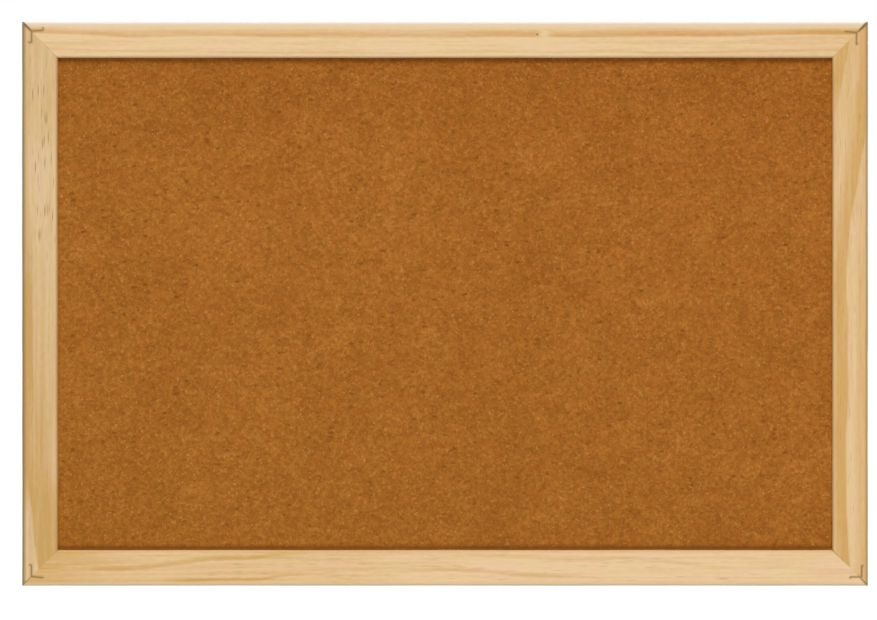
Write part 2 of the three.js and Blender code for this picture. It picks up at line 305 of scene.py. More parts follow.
# The section as (across from the outer edge, depth from the face): front, groove, then back
INNER_ROUND, GROOVE_FOOT = RAIL_WIDTH - FRONT_ROUND, RAIL_WIDTH - GROOVE_DEPTH
INNER_BACK, BACK_EDGE = RAIL_WIDTH - BACK_ROUND, RAIL_DEPTH - BACK_ROUND
SECTION = np.vstack([
    arc((FRONT_ROUND, FRONT_ROUND), FRONT_ROUND, 180, 270, 9),
    straight((FRONT_ROUND, 0), (INNER_ROUND, 0), 33),
    arc((INNER_ROUND, FRONT_ROUND), FRONT_ROUND, 270, 360, 9),
    [(RAIL_WIDTH, LIP_FRONT), (GROOVE_FOOT, LIP_FRONT)],
    [(GROOVE_FOOT, LIP_BACK), (RAIL_WIDTH, LIP_BACK)],
    arc((INNER_BACK, BACK_EDGE), BACK_ROUND, 0, 90, 6),
    straight((INNER_BACK, RAIL_DEPTH), (BACK_ROUND, RAIL_DEPTH), 11),
    arc((BACK_ROUND, BACK_EDGE), BACK_ROUND, 90, 180, 6),
    straight((0, BACK_EDGE), (0, FRONT_ROUND), 6),
])

# Each rail: where its outer front corner line starts, which way it runs, which way is across,
# its length, and the corners at its start and at its end
SIDE, TOP, FOOT = BOARD_WIDTH / 2, FRAME_TOP, FRAME_TOP - BOARD_HEIGHT
RAILS = {
    "top_rail": ((-SIDE, TOP), (1, 0), (0, -1), BOARD_WIDTH, ("top_left", "top_right")),
    "bottom_rail": ((-SIDE, FOOT), (1, 0), (0, 1), BOARD_WIDTH, ("bottom_left", "bottom_right")),
    "left_stile": ((-SIDE, TOP), (0, -1), (1, 0), BOARD_HEIGHT, ("top_left", "bottom_left")),
    "right_stile": ((SIDE, TOP), (0, -1), (-1, 0), BOARD_HEIGHT, ("top_right", "bottom_right")),
}

# Each mitre: how far the hollow reaches from the cut at the outer corner, and at the inner one.
# The two cuts stand a hair apart. The stations lean over the last 30 mm, and over the last 60 mm
# the rail's edges come true again, so that the corners meet
MITRE_GAP, LEANING, STATION_GAP, SETTLING = 0.02, 30.0, 6.0, 60.0
MITRES = {
    "top_left": (1.1, 0.0), "top_right": (1.15, 0.0),
    "bottom_left": (0.5, 0.0), "bottom_right": (0.7, 0.35),
}
print("the section has", len(SECTION), "points")


# %% The surface of a rail
def slow_wave(place, seed):
    """A smooth wave from 0 to 1 along a length, the sum of three sines with seeded phases."""
    phases = np.random.default_rng(seed).uniform(0, 2 * math.pi, 3)
    spans = (230, 101, 47)
    waves = [np.sin(2 * math.pi * place / span + turn) for span, turn in zip(spans, phases)]
    return 0.5 + (waves[0] * 3 + waves[1] * 2 + waves[2]) / 12


def mitre_wear(across, corner):
    """Reach of the worn hollow along a mitre, in mm: it fades from the outer corner to the nail,
    and may start again beyond it towards the inner corner."""
    outer, inner = MITRES[corner]
    worn_out = outer * np.interp(across, [0, 4, 9, 13], [1, 0.88, 0.68, 0])
    return worn_out + inner * np.interp(across, [22, 30, 38], [0, 0.7, 1])


def worn_drop(from_cut, across, corner):
    """How far the face sinks beside the mitre: steepest at the cut, none beyond the reach."""
    reach = 0.08 + mitre_wear(across, corner)
    return 0.55 * reach * np.clip(1 - from_cut / reach, 0, 1) ** 1.5


def rail_points(name, seed):
    """Section points at stations along the rail: close together and leaning near the mitres,
    6 mm apart between them. Three slow waves put the edges and the face a little out of true."""
    (start_x, start_z), (run_x, run_z), (side_x, side_z), length, corners = RAILS[name]
    across, depth = SECTION[None, :, 0], SECTION[None, :, 1]
    steps = np.r_[0, 0.08, 0.2, 0.35, 0.55, 0.8, 1.2, np.arange(2, LEANING + 1)][:, None]
    half = length / 2 - across - MITRE_GAP
    share = np.linspace(0, 1, int(length / STATION_GAP))[1:-1, None]
    middle = (LEANING - half) * (1 - share) + (half - LEANING) * share
    along = np.vstack([steps - half, middle, half - steps[::-1]])
    drops = [worn_drop(steps * math.sqrt(0.5), across, corner) for corner in corners]
    drop = np.vstack([drops[0], 0 * middle, drops[1][::-1]])
    settle = np.clip((length / 2 - abs(along)) / SETTLING, 0, 1)
    outer = 0.18 * slow_wave(along, seed) * settle
    inner = 0.25 * slow_wave(along, seed + 1) * settle
    face = 0.09 * slow_wave(along, seed + 2) * settle
    wide = across + outer * (1 - across / RAIL_WIDTH) - inner * across / RAIL_WIDTH
    in_front = np.clip(1 - depth / LIP_FRONT, 0, 1)
    deep = depth + face * (1 - depth / RAIL_DEPTH) + drop * in_front
    run = along + length / 2
    x = start_x + run * run_x + wide * side_x
    z = start_z + run * run_z + wide * side_z
    return np.stack([x, FRONT_FACE + deep, z], -1)


sample = rail_points("top_rail", 1)
low, high = sample.min((0, 1)).round(2), sample.max((0, 1)).round(2)
print("a rail's grid:", sample.shape[:2], "lowest", low, "highest", high)

# %% [markdown]
# ## The corner nails and their slots
# The nails are short strips of blued spring steel, bent to an L, some with a small hook at an
# end, and driven across the mitre. The hammer left each one a little askew. A strip is a narrow
# section carried along the bent line, with small rounds in its bends. The same strip, a little
# wider, is the slot that the nail leaves in the wood, and a Boolean cut takes it out of the rails.

# %% Bent strips
NAIL_LEG, NAIL_THICKNESS, SLOT_GAP = 12.0, 0.5, 0.08
NAIL_SINK, NAIL_HEIGHT, NAIL_BEND = 0.1, 6.8, 0.5

# Each nail: its bend's distance from the frame's side and from its top or bottom edge, then for
# the level and for the upright leg its hook and its lean towards the edge, all in mm
FRONT_NAILS = {
    "top_left": ((10.41, 9.88), (2.4, 3.0), (0.96, 0.0)),
    "top_right": ((12.2, 11.59), (0.0, 1.44), (1.2, -0.36)),
    "bottom_left": ((10.18, 10.3), (0.0, 1.8), (1.56, 0.0)),
    "bottom_right": ((7.11, 9.69), (1.2, 1.2), (0.0, 0.24)),
}
BACK_NAILS = dict.fromkeys(FRONT_NAILS, ((11.4, 11.4), (3.0, 3.0), (0.0, 0.0)))


def nail_line(corner, nail, extra=0.0):
    """The L in X and Z with its hooks, its bends made round. Its ends reach further by extra."""
    (from_side, from_edge), hooks, leans = nail
    side = 1 if corner.endswith("right") else -1
    up = 1 if corner.startswith("top") else -1
    x = side * (BOARD_WIDTH / 2 - from_side)
    z = FRAME_MIDDLE + up * (BOARD_HEIGHT / 2 - from_edge)
    reach = [NAIL_LEG + (0 if hook else extra) for hook in hooks]
    level_end = (x - side * reach[0], z + up * leans[0])
    upright_end = (x + side * leans[1], z - up * reach[1])
    line = [level_end, (x, z), upright_end]
    if hooks[0]:
        line.insert(0, (line[0][0], line[0][1] + up * (hooks[0] + extra)))
    if hooks[1]:
        line.append((line[-1][0] + side * (hooks[1] + extra), line[-1][1]))
    return round_bends(np.array(line), NAIL_BEND)


def round_bends(line, radius, count=6):
    """Replaces each bend by points on a quarter round that starts and ends along its legs."""
    made = [line[:1]]
    for before, bend, after in zip(line, line[1:], line[2:]):
        back = (before - bend) / np.linalg.norm(before - bend)
        on = (after - bend) / np.linalg.norm(after - bend)
        turn = np.linspace(0, math.pi / 2, count)[:, None]
        made.append(bend + radius * (back * (1 - np.sin(turn)) + on * (1 - np.cos(turn))))
    return np.vstack([*made, line[-1:]])


def outward(line):
    """The direction square to a line in a plane, to its right, at each of its points."""
    heading = np.gradient(line, axis=0)
    heading /= np.linalg.norm(heading, axis=1, keepdims=True)
    return np.c_[heading[:, 1], -heading[:, 0]]


def strip_points(line, section):
    """Section points (side, depth) at each point of a line in X and Z, square to the line."""
    flat = line[:, None] - section[None, :, :1] * outward(line)[:, None]
    depth = np.broadcast_to(section[None, :, 1], flat.shape[:2])
    return np.stack([flat[..., 0], depth, flat[..., 1]], -1)


def strip_section(thickness, front, back, edge=0.0):
    """A narrow rectangle from one depth to another, its front and back edges eased."""
    half = thickness / 2
    low, high = front + edge, back - edge
    return np.array([
        (-half, low), (-half + edge, front), (half - edge, front), (half, low),
        (half, high), (half - edge, back), (-half + edge, back), (-half, high),
    ])


def slot_cutters():
    """A closed strip for each slot, at the front and at the back, that stands out of the wood."""
    wide = NAIL_THICKNESS + 2 * SLOT_GAP
    deep = NAIL_SINK + NAIL_HEIGHT + SLOT_GAP
    levels = (FRONT_NAILS, FRONT_FACE - 1, FRONT_FACE + deep), (BACK_NAILS, -deep, 1)
    cutters = []
    for nails, front, back in levels:
        section = strip_section(wide, front, back, 0.01)
        for corner, nail in nails.items():
            points = strip_points(nail_line(corner, nail, SLOT_GAP), section)
            cutters.append((corner, tube("slot", points)))
    return cutters


def gap_to_line(x, z, line):
    """The shortest distance from each point to a bent line in X and Z."""
    start, leg = line[:-1], np.diff(line, axis=0)
    spot = np.stack([x, z], -1)[:, None]
    share = np.clip(((spot - start) * leg).sum(-1) / (leg**2).sum(-1), 0, 1)
    return np.linalg.norm(spot - start - share[..., None] * leg, axis=-1).min(1)


print("a nail's line has", len(nail_line("top_left", FRONT_NAILS["top_left"])), "points")

# %% [markdown]
# ## Pine
# Planed softwood with a thin matt seal: pale early wood, which darkens slowly through each
# year's ring to ochre late wood and then starts again at a sharp line. A board shows few rings,
# because it is cut along them, and each of the four rails has its own figure. So the bands of
# late wood are written down for each rail as a joiner would read them: the line of the sharp
# side, how wide the dark wood is behind it, and how strong it is along the rail. Curves give
# the lines and the strengths, a ramp draws each band's section, and noise stretched along the
# fibres bends the lines a little and adds streaks. The depth shifts the figure too, so the
# edges and the back show the same bands where they come out.

# %% How each rail was cut from the log
# early, late: the colours of the palest and of the darkest wood
# sharp: 1 where a band's sharp side looks to the panel, -1 where it looks outwards
# tilt: how far the rings lean, in mm across for each mm of depth
# flecks, fleck_zone: how dark the resin flecks are, and where along the rail they lie
# knots: pin knots as (along, across, radius)
# edge, lip: the colour of the outer edge and of the inner lip, and its reach in mm. Both are
# painted light: painted shade along the outer edges of the stiles and of the bottom rail, a painted
# highlight along the top rail's outer edge, and painted shading on the rounded inner lips
# ground: tone of the wood between the bands, as (along, tone)
# bands: width of the late wood and the part of it that stays full, then the sharp line as
# (along, across) and the strength as (along, strength)
# All places are in mm, read off the enlarged photograph, along from the left or upper end and
# across from the outer edge
PINE = {
    "top_rail": dict(
        early="#e7c79b", late="#cd9c5d", sharp=1, tilt=1.15, seed=3.0,
        flecks=0.15, fleck_zone=(300, 900), knots=[(548, 13.5, 1.1)],
        edge=("#e4d2bd", 8.0), lip=("#eccb9e", 2.0),
        ground=[(0, 0.12), (400, 0.02), (600, 0.06), (700, 0.12), (780, 0.2), (900, 0.3)],
        bands=[
            (9, 1,
             [(30, 13.5), (83, 15.1), (115, 16.2), (189, 15.1), (295, 15.6), (455, 15.6),
              (551, 15.6), (636, 15.6), (700, 15.1), (763, 15.4), (827, 14.5), (880, 13.8)],
             [(0, 0.75), (100, 0.65), (189, 0.5), (242, 0.65), (440, 0.65), (460, 0.85),
              (546, 0.85), (555, 0.15), (566, 0.78), (650, 0.8), (720, 0.95), (800, 1.0),
              (900, 1.0)]),
            (5, 0,
             [(22, 30), (83, 32), (189, 33), (295, 34), (400, 33.5), (530, 34), (640, 33),
              (700, 33.5), (780, 33), (860, 32)],
             [(0, 0.35), (630, 0.35), (660, 0.5), (860, 0.5)]),
        ],
    ),
    "bottom_rail": dict(
        early="#e6c59b", late="#cba05a", sharp=-1, tilt=1.2, seed=11.0,
        flecks=0.35, fleck_zone=(200, 800), knots=[],
        edge=("#d4bd97", 6.0), lip=("#bd8f50", 3.0),
        ground=[(0, 0.8), (60, 0.65), (110, 0.4), (170, 0.28), (280, 0.36), (360, 0.3),
                (430, 0.1), (600, 0.0), (900, 0.12)],
        bands=[
            (9, 2,
             [(19, 17), (40, 17.5), (62, 17), (93, 16.5), (115, 17), (136, 18.6), (152, 20.7),
              (168, 22.3), (184, 24), (200, 25.5), (221, 26.6), (242, 27.1), (264, 29.8),
              (285, 31.9), (295, 33), (317, 34), (402, 34)],
             [(0, 1.0), (36, 1.0), (42, 0.8), (70, 0.8), (79, 1.0), (104, 1.0), (120, 0.8),
              (242, 0.8), (296, 0.6), (402, 0.3), (450, 0.15), (900, 0.1)]),
            (6, 1,
             [(125, 3.2), (168, 4.3), (210, 5.3), (253, 5.9), (269, 8.5), (285, 10), (317, 11.7),
              (359, 11.2), (402, 12.8), (455, 14.9), (487, 13.8), (513, 11.2), (551, 9),
              (588, 8.5), (615, 6.4), (657, 5.3)],
             [(0, 0.1), (125, 0.3), (168, 0.7), (210, 1.0), (253, 1.0), (285, 0.7), (317, 0.5),
              (359, 0.3), (402, 0.3), (455, 0.6), (476, 0.6), (508, 0.4), (551, 0.5), (588, 0.35),
              (615, 0.2), (721, 0.15)]),
            (6, 0,
             [(434, 31.9), (508, 29.8), (556, 27.6), (593, 27.1), (636, 27.6), (678, 24.5),
              (710, 21.3)],
             [(381, 0.0), (444, 0.35), (551, 0.35), (593, 0.5), (657, 0.3), (700, 0.4),
              (785, 0.1)]),
            (4, 0,
             [(0, 31.4), (136, 31.4), (242, 37.2)],
             [(0, 0.5), (140, 0.5), (242, 0.3), (300, 0.0)]),
        ],
    ),
    "left_stile": dict(
        early="#dcbd93", late="#c59c5c", sharp=-1, tilt=1.0, seed=23.0,
        flecks=1.0, fleck_zone=(40, 250), knots=[],
        edge=("#8a6f49", 5.8), lip=("#c08c4b", 3.2),
        ground=[(0, 0.33), (115, 0.27), (150, 0.08), (230, 0.15), (300, 0.32), (400, 0.3),
                (600, 0.1)],
        bands=[
            (7, 0,
             [(248, 3.1), (274, 5.2), (296, 6.3), (317, 7.3), (338, 7.3), (354, 6.8), (370, 8.4),
              (386, 10), (402, 10.5), (418, 9.5), (434, 7.3), (450, 4.5), (466, 3.4), (482, 4.6),
              (498, 7.9), (514, 10.8), (524, 12.7), (551, 15.8), (578, 19)],
             [(200, 0.0), (235, 0.3), (262, 0.7), (290, 0.95), (381, 1.0), (434, 1.0), (450, 0.8),
              (520, 0.8), (540, 0.3), (600, 0.3)]),
            (39, 16,
             [(230, 8), (330, 5), (450, 3), (460, 1.0), (482, 3.4), (508, 9.0), (524, 11.6),
              (551, 13.7), (572, 15.8), (588, 19)],
             [(220, 0.0), (260, 0.15), (296, 0.36), (330, 0.46), (360, 0.5), (413, 0.65),
              (466, 0.82), (519, 0.97), (600, 1.0)]),
            (13, 8,
             [(0, -4), (180, -3), (230, 1), (330, 1), (420, -1), (500, -3)],
             [(0, 0.3), (180, 0.35), (225, 0.5), (262, 0.75), (300, 1.0), (460, 1.0), (500, 0.7),
              (530, 0.0)]),
        ],
    ),
    "right_stile": dict(
        early="#e1c093", late="#cfa260", sharp=-1, tilt=1.1, seed=31.0,
        flecks=0.35, fleck_zone=(60, 600), knots=[],
        edge=("#a58450", 4.6), lip=("#c8975a", 3.0),
        ground=[(0, 0.5), (60, 0.44), (100, 0.28), (170, 0.26), (230, 0.1), (600, 0.02)],
        bands=[
            (18, 8,
             [(0, 16), (25, 20.1), (41, 22.2), (57, 25.4), (73, 28.6), (89, 31.8), (104, 34),
              (150, 37)],
             [(0, 1.0), (50, 1.0), (70, 0.8), (90, 0.5), (120, 0.3), (160, 0.0)]),
            (26, 3,
             [(57, 0), (83, 1), (110, 1.5), (126, 3), (147, 7.3), (168, 10.5), (189, 14.2),
              (205, 17.4), (221, 19.6), (243, 21.2), (264, 22.8)],
             [(20, 0.2), (62, 0.6), (83, 1.0), (210, 1.0), (250, 0.5), (280, 0.0)]),
            (5, 0,
             [(100, 8), (126, 10.5), (147, 14), (180, 20), (210, 24)],
             [(90, 0.0), (110, 0.45), (170, 0.4), (220, 0.0)]),
            (17, 8,
             [(190, 15.5), (205, 17.4), (221, 19.6), (243, 21.2), (264, 22.8), (285, 23.3),
              (306, 22.2), (328, 21.7), (402, 21.2), (434, 22.8), (477, 23.3), (508, 23.8),
              (540, 22.2), (562, 20.6)],
             [(190, 0.0), (215, 0.4), (245, 0.95), (600, 1.0)]),
            (15, 6,
             [(0, -1), (220, 1), (600, 1)],
             [(0, 0.75), (60, 0.85), (100, 0.6), (140, 0.35), (220, 0.4), (300, 0.55),
              (600, 0.58)]),
        ],
    ),
}

print("bands of late wood:", {name: len(cut["bands"]) for name, cut in PINE.items()})

# Two more bands lie deeper in the wood and come out at the edges and on the back. A curve or a
# ramp holds places up to 40 mm to either side of its middle. The sharp line is 2.6 mm soft
HIDDEN_BANDS = [(7, 1, [(0, at), (900, at + 2)], [(0, 0.8), (900, 0.8)]) for at in (-9.0, -18.0)]
HALF_SPAN, HALF_STEP = 40.0, 1.3


def band_stops(wide, full, sharp):
    """Greys across a band: a soft step at the sharp line, full wood, and then a slow fall."""
    fall = wide - full
    shape = [
        (-HALF_STEP, 0), (HALF_STEP, 1), (HALF_STEP + full, 0.97),
        (full + 0.4 * fall, 0.75), (full + 0.75 * fall, 0.3), (wide, 0),
    ]
    return sorted((0.5 - sharp * step / HALF_SPAN / 2, dark) for step, dark in shape)


# %% The figure of a rail
def curve_points(length, pairs, middle=0.0, scale=1.0):
    """Points of a curve, which runs from 0 to 1, from (along, value) pairs with along in mm. The
    curve holds middle + value * scale."""
    return [(along / length, middle + value * scale) for along, value in pairs]


def ring_figure(tree, place, cut, length):
    """How much late wood shows, from 0 to 1: the ground's tone, or the darkest of the bands."""
    along, depth, across = add(tree, "SeparateXYZ", {0: place}).outputs
    share = add(tree, "Math", {0: along, 1: length}, operation="DIVIDE")

    # The place across the rings: less the tilt of the log, plus the fibres' wander
    tilt = add(tree, "Math", {0: depth, 1: cut["tilt"]}, operation="MULTIPLY")
    spot = add(tree, "Math", {0: across, 1: tilt}, operation="SUBTRACT")
    seed = cut["seed"]
    for size, shift, sway in (((150, 30, 30), (seed, 0, 0), 2.0), ((42, 7, 7), (0, seed, 0), 1.0)):
        bend = add(tree, "Mapping", stretch(place, *size, shift))
        bend = add(tree, "TexNoise", {"Vector": bend, "Scale": 1.0, "Detail": 2.0})
        bend = add(tree, "MapRange", {"Value": bend, "To Min": -sway, "To Max": sway})
        spot = add(tree, "Math", {0: spot, 1: bend}, operation="ADD")
    reach = {"From Min": -HALF_SPAN, "From Max": HALF_SPAN, "To Min": 0.5, "To Max": 1.5}
    spot = add(tree, "MapRange", {"Value": spot, **reach}, clamp=False)

    # Each band is a ramp across its own line, as strong as its curve says, and the darkest wins
    figure = add(tree, "FloatCurve", {"Value": share}, line=curve_points(length, cut["ground"]))
    for wide, full, sharp_line, strength in cut["bands"] + HIDDEN_BANDS:
        line = curve_points(length, sharp_line, 0.5, 0.5 / HALF_SPAN)
        line = add(tree, "FloatCurve", {"Value": share}, line=line)
        band = add(tree, "Math", {0: spot, 1: line}, operation="SUBTRACT")
        band = add(tree, "ValToRGB", {"Fac": band}, stops=band_stops(wide, full, cut["sharp"]))
        force = add(tree, "FloatCurve", {"Value": share}, line=curve_points(length, strength))
        band = add(tree, "Math", {0: band, 1: force}, operation="MULTIPLY")
        figure = add(tree, "Math", {0: figure, 1: band}, operation="MAXIMUM")
    return figure


def resin_flecks(tree, place, along, cut):
    """Resin canals: short dark flecks along the fibres, 8 mm long and drawn 0.9 mm wide. Cells
    hold one each, faint or dark by the cell's own number, and only inside the rail's zone."""
    cells = add(tree, "Mapping", stretch(place, 26, 3, 2.1, (0, 3, cut["seed"])))
    cells = add(tree, "TexVoronoi", {"Vector": cells, "Scale": 1.0})
    own = add(tree, "SeparateXYZ", {0: cells.outputs["Color"]}).outputs["X"]
    chosen = add(tree, "MapRange", {"Value": own, "From Min": 0.2, "From Max": 0.8, "To Max": 0.85})
    low, high = cut["fleck_zone"]
    far = cells.outputs["Distance"]
    fleck = chosen
    ends = (far, 0.38, 0.1), (along, high + 30, high - 30), (along, low - 20, low + 20)
    for value, start, end in ends:
        inside = {"Value": value, "From Min": start, "From Max": end}
        inside = add(tree, "MapRange", inside, interpolation_type="SMOOTHSTEP")
        fleck = add(tree, "Math", {0: fleck, 1: inside}, operation="MULTIPLY")
    return add(tree, "Math", {0: fleck, 1: cut["flecks"]}, operation="MULTIPLY")


# %% The finish of a rail
def planed_pine(name):
    """Pine for one rail. Its own axes run along it, into the wood and across it. Two rails are
    mirrored that way, so their Z is flipped before the turn."""
    cut = PINE[name]
    (start_x, start_z), (run_x, run_z), (side_x, side_z), length, _ = RAILS[name]
    settings = dict(IOR=1.5, Specular_IOR_Level=0.35)
    finish, tree, shader, place = new_finish("planed_pine_" + name, **settings)
    axes = Matrix(((run_x, 0, run_z), (0, 1, 0), (side_x, 0, side_z)))
    flip = 1 if axes.determinant() > 0 else -1
    rotation = (axes @ Matrix.Diagonal((1, 1, flip))).to_euler()
    start = axes @ Vector((start_x, FRONT_FACE, start_z))
    own = {"Vector": place, "Scale": (1, 1, flip), "Rotation": rotation, "Location": -start}
    place = add(tree, "Mapping", own)
    along, depth, across = add(tree, "SeparateXYZ", {0: place}).outputs
    seed = cut["seed"]

    # Soft streaks 4 mm wide and a mottle darken and lighten the figure before it gets its colour
    figure = tone = ring_figure(tree, place, cut, length)
    streaks = (120, 4, 4), (0, 0, seed), 1.4, -0.19, 0.21
    mottle = (9, 3.2, 3.2), (0, seed, 0), 2.0, -0.1, 0.1
    for size, shift, detail, low, high in (streaks, mottle):
        streak = add(tree, "Mapping", stretch(place, *size, shift))
        streak = add(tree, "TexNoise", {"Vector": streak, "Scale": 1.0, "Detail": detail})
        streak = add(tree, "MapRange", {
            "Value": streak, "From Min": 0.3, "From Max": 0.7, "To Min": low, "To Max": high,
        })
        tone = add(tree, "Math", {0: tone, 1: streak}, operation="ADD")
    wood = add(tree, "ValToRGB", {"Fac": tone}, stops=[(0.0, cut["early"]), (1.0, cut["late"])])

    # Fibres, drawn 1.2 mm wide, coarser than real ones, to show in a picture of the whole board,
    # and the true ones, 0.3 mm wide, for a close look
    fibre = {"Vector": add(tree, "Mapping", stretch(place, 55, 1.2, 1.2)), "Scale": 1.0}
    fibre = add(tree, "TexNoise", {**fibre, "Detail": 3.0, "Roughness": 0.65})
    fine = add(tree, "Mapping", stretch(place, 16, 0.35, 0.35))
    fine = add(tree, "TexNoise", {"Vector": fine, "Scale": 1.0, "Detail": 2.0})
    for noise, start, end, dark, light in (
        (fibre, 0.25, 0.75, 0.958, 1.038), (fine, 0.3, 0.7, 0.965, 1.035),
    ):
        shade = add(tree, "MapRange", {
            "Value": noise, "From Min": start, "From Max": end, "To Min": dark, "To Max": light,
        })
        wood = add(tree, "VectorMath", {0: wood, 1: shade}, operation="MULTIPLY")

    # Patches 60 mm long where the wood is a little pinker, and between them a little yellower
    patch = add(tree, "Mapping", stretch(place, 60, 12, 12, (seed, 5, 0)))
    patch = add(tree, "TexNoise", {"Vector": patch, "Scale": 1.0, "Detail": 3.0})
    patch = add(tree, "MapRange", {"Value": patch, "From Min": 0.38, "From Max": 0.64})
    yellow = add(tree, "VectorMath", {0: wood, 1: (0.995, 1.0, 0.93)}, operation="MULTIPLY")
    pink = add(tree, "VectorMath", {0: wood, 1: (1.01, 0.985, 1.0)}, operation="MULTIPLY")
    wood = add(tree, "Mix", {"Factor": patch, "A": yellow, "B": pink}, data_type="RGBA")

    # Laid over the wood in turn: resin, pin knots, which are dark spots with a place and a radius,
    # the tones of the outer edge and of the inner lip, which only the front face has, and the stain
    # of the slots and of the worn mitres. The edge and lip tones are painted light: painted shade
    # along the outer edges of the stiles and of the bottom rail, a painted highlight along the top
    # rail's outer edge, and painted shading on the rounded inner lips
    laid = [(resin_flecks(tree, place, along, cut), "#94713f")]
    for knot_along, knot_across, radius in cut["knots"]:
        spot = (knot_along, 0, knot_across)
        away = add(tree, "VectorMath", {0: place, 1: spot}, operation="DISTANCE").outputs["Value"]
        near = {"Value": away, "From Min": 1.4 * radius, "From Max": 0.5 * radius}
        laid.append((add(tree, "MapRange", near), "#94683a"))
    front = {"Value": depth, "From Min": 2.2, "From Max": 0.9}
    front = add(tree, "MapRange", front, interpolation_type="SMOOTHSTEP")
    (edge_painted_light, edge_reach), (lip_painted_shading, lip_reach) = cut["edge"], cut["lip"]
    for hue, start, end in (
        (edge_painted_light, edge_reach, 0.6), (lip_painted_shading, RAIL_WIDTH - lip_reach, RAIL_WIDTH),
    ):
        edge = {"Value": across, "From Min": start, "From Max": end}
        edge = add(tree, "MapRange", edge, interpolation_type="SMOOTHSTEP")
        laid.append((add(tree, "Math", {0: edge, 1: front}, operation="MULTIPLY"), hue))
    laid.append((add(tree, "Attribute", attribute_name="stain").outputs["Fac"], "#85673a"))
    for share, hue in laid:
        wood = add(tree, "Mix", {"Factor": share, "A": wood, "B": hue}, data_type="RGBA")

    rough = add(tree, "MapRange", {"Value": fibre, "To Min": 0.46, "To Max": 0.64})
    relief = add(tree, "Math", {0: fibre, 1: figure}, operation="ADD")
    relief = add(tree, "Math", {0: fine, 1: 0.5, 2: relief}, operation="MULTIPLY_ADD")
    bump = add(tree, "Bump", {"Height": relief, "Distance": 0.000035})
    connect(tree, shader, {"Base Color": wood, "Roughness": rough, "Normal": bump})
    return finish


# %% Build the four rails
CRUSH_STAIN, CRUSH_REACH = 0.62, 0.8


def add_stain(piece, name):
    """A stain value on each point: darkest in a slot or in a worn mitre, falling off beside it,
    over the reach of the wear at a mitre and over the crushed fibres at a nail."""
    (start_x, start_z), (run_x, run_z), (side_x, side_z), length, corners = RAILS[name]
    co = np.empty(len(piece.data.vertices) * 3, np.float32)
    piece.data.vertices.foreach_get("co", co)
    x, y, z = co.reshape(-1, 3).T * 1000
    along = (x - start_x) * run_x + (z - start_z) * run_z
    across = (x - start_x) * side_x + (z - start_z) * side_z
    stain = 0 * x
    for corner, from_end in zip(corners, (along, length - along)):
        reach = mitre_wear(across, corner)
        from_cut = (from_end - across) * math.sqrt(0.5)
        dark = np.clip(1.1 * reach, 0, 1) * np.clip(1.6 - from_cut / (0.3 + reach), 0, 1)
        stain = np.maximum(stain, dark)
    for nails, near in ((FRONT_NAILS, y < FRONT_FACE / 2), (BACK_NAILS, y > FRONT_FACE / 2)):
        for corner, nail in nails.items():
            gap = gap_to_line(x, z, nail_line(corner, nail)) - NAIL_THICKNESS
            crushed = CRUSH_STAIN * np.exp(-((np.clip(gap, 0, None) / CRUSH_REACH) ** 2)) * near
            stain = np.maximum(stain, crushed)
    stain = stain.astype(np.float32)
    piece.data.attributes.new("stain", "FLOAT", "POINT").data.foreach_set("value", stain)


cutters = slot_cutters()
for seed, name in enumerate(RAILS, start=1):
    rail = tube("pine_" + name, rail_points(name, seed * 10))
    side = name.split("_")[0]
    cut_away(rail, [slot for corner, slot in cutters if side in corner.split("_")], keep=True)
    add_stain(rail, name)
    complete(rail, planed_pine(name), "pine", "root", name)
for _, slot in cutters:
    bpy.data.objects.remove(slot)

# %% [markdown]
# ## Blued steel nails
# Spring steel strip, blued in the heat of hardening and since gone brown with rust where the
# hammer broke its skin. In the picture a nail is only a thin brown line, so its colour matters
# more than its gloss.

# %% The finish and the eight nails
def blued_steel():
    finish, tree, shader, place = new_finish("blued_spring_steel", Metallic=1.0)
    rust = {"Vector": place, "Scale": 1 / 1.8, "Detail": 4.0, "Roughness": 0.65}
    rust = add(tree, "TexNoise", rust)
    colour = add(tree, "ValToRGB", {"Fac": rust}, stops=[
        (0.34, "#94713a"), (0.5, "#b48d52"), (0.66, "#ad7634"),
    ])
    rough = add(tree, "MapRange", {"Value": rust, "To Min": 0.4, "To Max": 0.75})
    bump = add(tree, "Bump", {"Height": rust, "Distance": 0.00008})
    connect(tree, shader, {"Base Color": colour, "Roughness": rough, "Normal": bump})
    return finish


steel = blued_steel()
for face, nails, top in (
    ("front", FRONT_NAILS, FRONT_FACE + NAIL_SINK),
    ("back", BACK_NAILS, -NAIL_SINK - NAIL_HEIGHT),
):
    section = strip_section(NAIL_THICKNESS, top, top + NAIL_HEIGHT, 0.1)
    for corner, nail in nails.items():
        points = strip_points(nail_line(corner, nail), section)
        strip = tube(f"bent_nail_{face}_{corner}", points)
        complete(strip, steel, "nail_steel", "root", f"{face}_nail_{corner}")

# %% [markdown]
# ## The cork sheet
# Granulated cork: bark ground to grains of 1 to 4 mm, pressed with a binder and sliced. The
# face isn't flat, because the saw tears grains out, so the sheet is a fine grid whose points
# sink by up to a quarter of a millimetre, from smoothed random numbers with a fixed seed. The
# sheet never rises, because the frame's lips lie just in front of it.

# %% The cork's torn face
def smooth_noise(rows, columns, cell, size, seed):
    """Seeded random numbers from 0 to 1, blurred to a feature size in mm (Fourier transform)."""
    field = np.random.default_rng(seed).standard_normal((rows, columns))
    wave_z = np.fft.fftfreq(rows, cell)[:, None]
    wave_x = np.fft.fftfreq(columns, cell)[None, :]
    blur = np.exp(-((wave_x**2 + wave_z**2) * (size * 1.6) ** 2))
    field = np.fft.ifft2(np.fft.fft2(field) * blur).real
    return np.clip(0.5 + field / (5 * field.std()), 0, 1)


